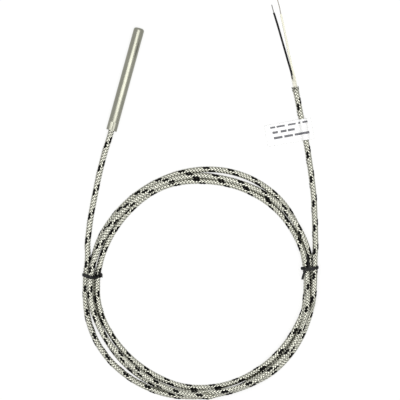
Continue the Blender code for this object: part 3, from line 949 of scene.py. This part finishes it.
def build_label():
    """White film folded round the cable and stuck to itself, with rows of plain printed bars."""
    turn = math.radians(LABEL_TURN)
    droop = math.radians(LABEL_DROOP)
    row = Vector((math.cos(turn) * math.cos(droop), math.sin(turn) * math.cos(droop), math.sin(droop)))
    side = Vector((-math.sin(turn), math.cos(turn), 0.0))
    up = row.cross(side)
    columns = int(LABEL_LENGTH / LABEL_CELL)
    rows = int(LABEL_HEIGHT / LABEL_CELL)
    leaves = []
    for leaf, lowest in ((1, UPPER_LEAF_LOWEST), (-1, LOWER_LEAF_LOWEST)):
        deselect()
        bpy.ops.mesh.primitive_grid_add(x_subdivisions=columns, y_subdivisions=rows, size=1.0)
        film = bpy.context.object
        uv = [(v.co.x + 0.5, v.co.y + 0.5) for v in film.data.vertices]
        for vertex, (u, v) in zip(film.data.vertices, uv):
            a = LABEL_SHIFT + (u - 0.5) * LABEL_LENGTH
            b = (v - 0.5) * LABEL_HEIGHT
            rise = leaf * leaf_offset(a) + label_wave(u, v, a)
            vertex.co = Vector(LABEL_MIDDLE) + row * a + side * b + up * rise
            vertex.co.z = max(vertex.co.z, lowest)
        film.data.materials.append(label_film)
        film.data.materials.append(label_print)
        if leaf > 0:
            print_bars(film, uv)
        else:
            film.data.flip_normals()
        film.data.shade_smooth()
        leaves.append(film)
    label = join("label_film", leaves)
    make_active(label)
    apply_modifier(label, "SOLIDIFY", thickness=LABEL_THICKNESS, offset=-1)
    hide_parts("label_flag")
    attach(label, "root")
    return label


def outline_round(centres, radius):
    """The line drawn tight round circles of one radius, as even points with their outward directions."""
    turns = np.linspace(0, 2 * math.pi, CIRCLE_POINTS, endpoint=False)
    cloud = [
        Vector((c[0] + radius * math.cos(t), c[1] + radius * math.sin(t))) for c in centres for t in turns
    ]
    cloud.sort(key=lambda p: (p.x, p.y))
    hull = []
    for points in (cloud, cloud[::-1]):
        start = len(hull)
        for p in points:
            while len(hull) - start >= 2 and (hull[-1] - hull[-2]).cross(p - hull[-2]) <= 0:
                hull.pop()
            hull.append(p)
        hull.pop()
    ring = np.array([tuple(p) for p in hull] + [tuple(hull[0])])
    along = lengths_along(ring)
    line = points_at(np.linspace(0, along[-1], BAND_RINGS + 1)[:-1], along, ring)
    ahead = np.roll(line, -1, axis=0) - np.roll(line, 1, axis=0)
    ahead /= np.linalg.norm(ahead, axis=1, keepdims=True)
    return line, np.stack([ahead[:, 1], -ahead[:, 0]], axis=1)


def tie_strip(name, points, width, thickness, twists):
    """A free end of a tie: the flat ribbon swept along a line and turned about itself."""
    line = smooth_line(np.array(points) * MM, 0.3 * MM, soften=1)
    up, across = line_frames(line)[1:]
    rings = []
    shares = np.linspace(0, 1, len(twists))
    for i in range(len(line)):
        turn = math.radians(np.interp(i / (len(line) - 1), shares, twists))
        wide = across[i] * math.cos(turn) + up[i] * math.sin(turn)
        deep = up[i] * math.cos(turn) - across[i] * math.sin(turn)
        rings.append([line[i] + wide * (a * width) + deep * (b * thickness) for a, b in TIE_SECTION])
    return skin(name, rings, [tie_plastic])


def build_tie(name, node, angle, sway, ends, turns):
    """A ribbon round the turns at one angle, drawn tight, with its twisted ends."""
    angles, distance, height = turns
    centres = []
    for lap in range(MOST_LAPS):
        at = angle + 360 * lap
        if angles[0] <= at <= angles[-1]:
            centres.append((float(np.interp(at, angles, distance)), float(np.interp(at, angles, height))))
    line, outward = outline_round(centres, (CABLE_R + 0.5 * TIE_THICKNESS) / MM)
    inner = min(c[0] for c in centres) - CABLE_R / MM
    outer = max(c[0] for c in centres) + CABLE_R / MM
    ahead = heading(angle + 90)
    sideways = heading(angle)
    shares, strays = zip(*sway)
    rings = []
    for (d, h), (nd, nh) in zip(line, outward):
        place = np.interp((d - inner) / (outer - inner), shares, strays)
        centre = beside_coil(angle, d * MM, h * MM) + ahead * (place * MM)
        normal = sideways * nd + Vector((0, 0, nh))
        rings.append([
            centre + ahead * (a * TIE_WIDTH) + normal * (b * TIE_THICKNESS) for a, b in TIE_SECTION
        ])
    parts = [skin(name, rings, [tie_plastic], closed=True)]
    for i, (points, width, thickness, twists) in enumerate(ends):
        parts.append(tie_strip(f"{name}_end_{i}", points, width * MM, thickness * MM, twists))
    tie = join(name, parts)
    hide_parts(node)
    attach(tie, "root")
    return tie


def make_camera():
    """Straight down, as in the photograph, with the sleeve leaning to the right at its tip."""
    view = bpy.data.cameras.new("camera")
    camera = bpy.data.objects.new("camera", view)
    camera.location = CAMERA_PLACE
    camera.rotation_euler = (0, 0, math.radians(COIL_LEAN))
    view.sensor_width = SENSOR_WIDTH
    view.lens = SENSOR_WIDTH * (CAMERA_PLACE[2] - SCALED_HEIGHT) / (IMAGE_PIXELS * PIXEL)
    view.clip_start = 0.05
    view.clip_end = 20
    bpy.context.scene.collection.objects.link(camera)
    bpy.context.scene.camera = camera


def make_lamps():
    """Two softboxes that face the middle of the part."""
    centre = Vector(LIT_MIDDLE)
    for name, place, size, watts in LAMPS:
        lamp = bpy.data.lights.new(name, "AREA")
        lamp.size = size
        lamp.energy = watts
        box = bpy.data.objects.new(name, lamp)
        box.location = centre + Vector(place)
        box.rotation_euler = (centre - box.location).to_track_quat("-Z", "Y").to_euler()
        bpy.context.scene.collection.objects.link(box)


def seen_directly(tree):
    """1 where a surface is seen itself, in a reflection or through glass, and 0 where it only lights."""
    path = add_node(tree, "ShaderNodeLightPath").outputs
    seen = work_out(tree, "MAXIMUM", path["Is Camera Ray"], path["Is Glossy Ray"])
    return work_out(tree, "MAXIMUM", seen, path["Is Transmission Ray"])


def make_world():
    """Even white light from all round, dimmer where it isn't seen directly."""
    world = bpy.data.worlds.new("plain_studio")
    bpy.context.scene.world = world
    world.use_nodes = True
    tree = world.node_tree
    tree.nodes.clear()
    strength = spread(tree, seen_directly(tree), 0.4, 1.0)
    light = add_node(tree, "ShaderNodeBackground", {"Color": (1, 1, 1, 1), "Strength": strength})
    add_node(tree, "ShaderNodeOutputWorld", {"Surface": light.outputs["Background"]})


def make_floor():
    """White paper, just under the part, with a little light of its own so that it shows white."""
    deselect()
    bpy.ops.mesh.primitive_plane_add(size=6, location=(LIT_MIDDLE[0], LIT_MIDDLE[1], -0.05 * MM))
    floor = bpy.context.object
    floor.name = "studio_floor"
    paper = bpy.data.materials.new("white_paper_floor")
    paper.use_nodes = True
    tree = paper.node_tree
    tree.nodes.clear()
    matt = add_node(tree, "ShaderNodeBsdfDiffuse", {"Color": colour("#F2F2F1")})
    white = add_node(tree, "ShaderNodeEmission", {"Color": (1, 1, 1, 1), "Strength": 1.085})
    share = work_out(tree, "MULTIPLY", seen_directly(tree), 0.7)
    both = add_node(
        tree, "ShaderNodeMixShader", {0: share, 1: matt.outputs["BSDF"], 2: white.outputs["Emission"]}
    )
    add_node(tree, "ShaderNodeOutputMaterial", {"Surface": both.outputs["Shader"]})
    floor.data.materials.append(paper)


bpy.context.scene.view_settings.view_transform = "Standard"
make_camera()
make_lamps()
make_world()
make_floor()

# Stainless tube, drawn through a die and lightly polished: a warm grey with its gleam drawn out lengthwise.
steel = drawn_stainless()
# Tinned wire, drawn fine and braided in flat bunches: satin crowns, with painted shade, nearly black, where a
# bunch dips under and down its sides.
wire = braid_wire("tinned_braid_wire", "#C8C8BB", "#2A2A22", 0.26, 1.0)
# Dyed glass yarn braided in with the wire as a marker: matt black that soaks up the light, with the same
# painted shade where it dips under.
tracer = braid_wire("black_tracer_yarn", "#060605", "#020202", 0.7, 0.0)
# Painted shade under the braid: a dull, near-black grey-green sheet, seen only through the gaps of the braid,
# drawn dark to stand for the shade there.
lining = grainy("painted_shade_lining", "#1E1E19", "#12120F", 0.8, 0.0004)
# Glass yarn braided over the iron core and varnished black: matt, with a fine weave and little sheen.
black_sleeving = glass_sleeving("black_glass_sleeving", "#0A0A0B", "#040405", 0.65)
# The same braid under clear varnish: cream, a touch glossier, with the weave showing a little darker.
cream_sleeving = glass_sleeving("cream_glass_sleeving", "#FBFAE8", "#E6E3CC", 0.6)
# Iron wire, drawn and annealed: mid grey and satin under a thin oxide.
iron = drawn_wire("iron_conductor", "#6B6A68", 0.35)
# Copper-nickel alloy wire, drawn bare: silver with a little warmth, brighter than the iron.
copper_nickel = drawn_wire("copper_nickel_conductor", "#8F8B84", 0.3)
# Glass yarn wound dry and left to fray: soft and nearly white, with no gloss.
wrap_yarn = grainy("pale_glass_wrap", "#F7F6EA", "#E3E1D2", 0.7, 0.0005)
# Polyester film coated white for printing: even, smooth and faintly satin.
label_film = grainy("white_label_film", "#FAFAF9", "#F6F6F5", 0.45, 0.004, depth=0.00001)
# Resin ink melted on from a ribbon: dull dark grey, thinner in specks.
label_print = grainy("label_print", "#505055", "#77777C", 0.6, 0.0004, depth=0.00001)
# PVC extruded round a soft wire: black, with the low even sheen of a cheap moulding.
tie_plastic = grainy("black_tie_plastic", "#131313", "#090909", 0.4, 0.0008)
tie_plastic.node_tree.nodes["Principled BSDF"].inputs["Specular IOR Level"].default_value = 0.2
# Magnesium oxide powder tamped into the tube: chalky off-white grains, no shine.
ceramic = grainy("packed_ceramic_powder", "#D9D2C4", "#C2BAAA", 0.85, 0.0003)
# Both wires melted together into a bead and left to cool: grey metal with a pitted skin.
bead_metal = grainy("welded_bead_metal", "#8A8884", "#5F5C58", 0.38, 0.0005, 1.0)
# Braided glass covers of the cores where they run inside the sleeve: matt black, and matt cream.
black_core_cover = grainy("black_glass_cover", "#101012", "#060607", 0.6, 0.0004)
cream_core_cover = grainy("cream_glass_cover", "#EDE9D6", "#D5D0B8", 0.65, 0.0004)

# Cable
turns = settle_turns()
route = cable_line(turns, 0.25 * MM)
line, steps, roll = crossings_along(route, BRAID_PITCH / CROSSINGS)
past = np.arange(len(line)) - (len(line) - 1 - FLARE_STEPS)
flare = 1 + FLARE * np.clip(past / FLARE_STEPS, 0, 1) ** 2
cable = weave_braid("braided_cable", line, steps, roll, (0, 1), CABLE_R * flare, [wire, tracer, lining])
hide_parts("cable_probe_lead", "cable_coil", "cable_tail_lead")
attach(cable, "root")

black_core, black_path, black_length = build_core(
    "black_core", BLACK_CORE, "black_core_tail", black_sleeving
)
cream_core, cream_path, cream_length = build_core(
    "cream_core", WHITE_CORE, "white_core_tail", cream_sleeving
)
iron_end = build_bare_end("iron_end", BLACK_CORE_BARE, "iron_wire_end", iron)
copper_nickel_end = build_bare_end(
    "copper_nickel_end", WHITE_CORE_BARE, "copper_nickel_wire_end", copper_nickel
)
wrap = build_wrap(line)
tips = build_wire_tips(line)
label = build_label()
left_tie = build_tie("left_tie", "twist_tie_left", LEFT_TIE, LEFT_SWAY, LEFT_ENDS, turns)
right_tie = build_tie("right_tie", "twist_tie_right", RIGHT_TIE, RIGHT_SWAY, RIGHT_ENDS, turns)

# Sleeve and what is inside it
sleeve = build_sleeve()
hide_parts("protective_sleeve")
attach(sleeve, "root")
for node, material in (
    ("ceramic_filling", ceramic), ("junction_bead", bead_metal), ("iron_leg", iron),
    ("copper_nickel_leg", copper_nickel), ("black_core_inside", black_core_cover),
    ("white_core_inside", cream_core_cover),
):
    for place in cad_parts[node].material_slots:
        place.material = material
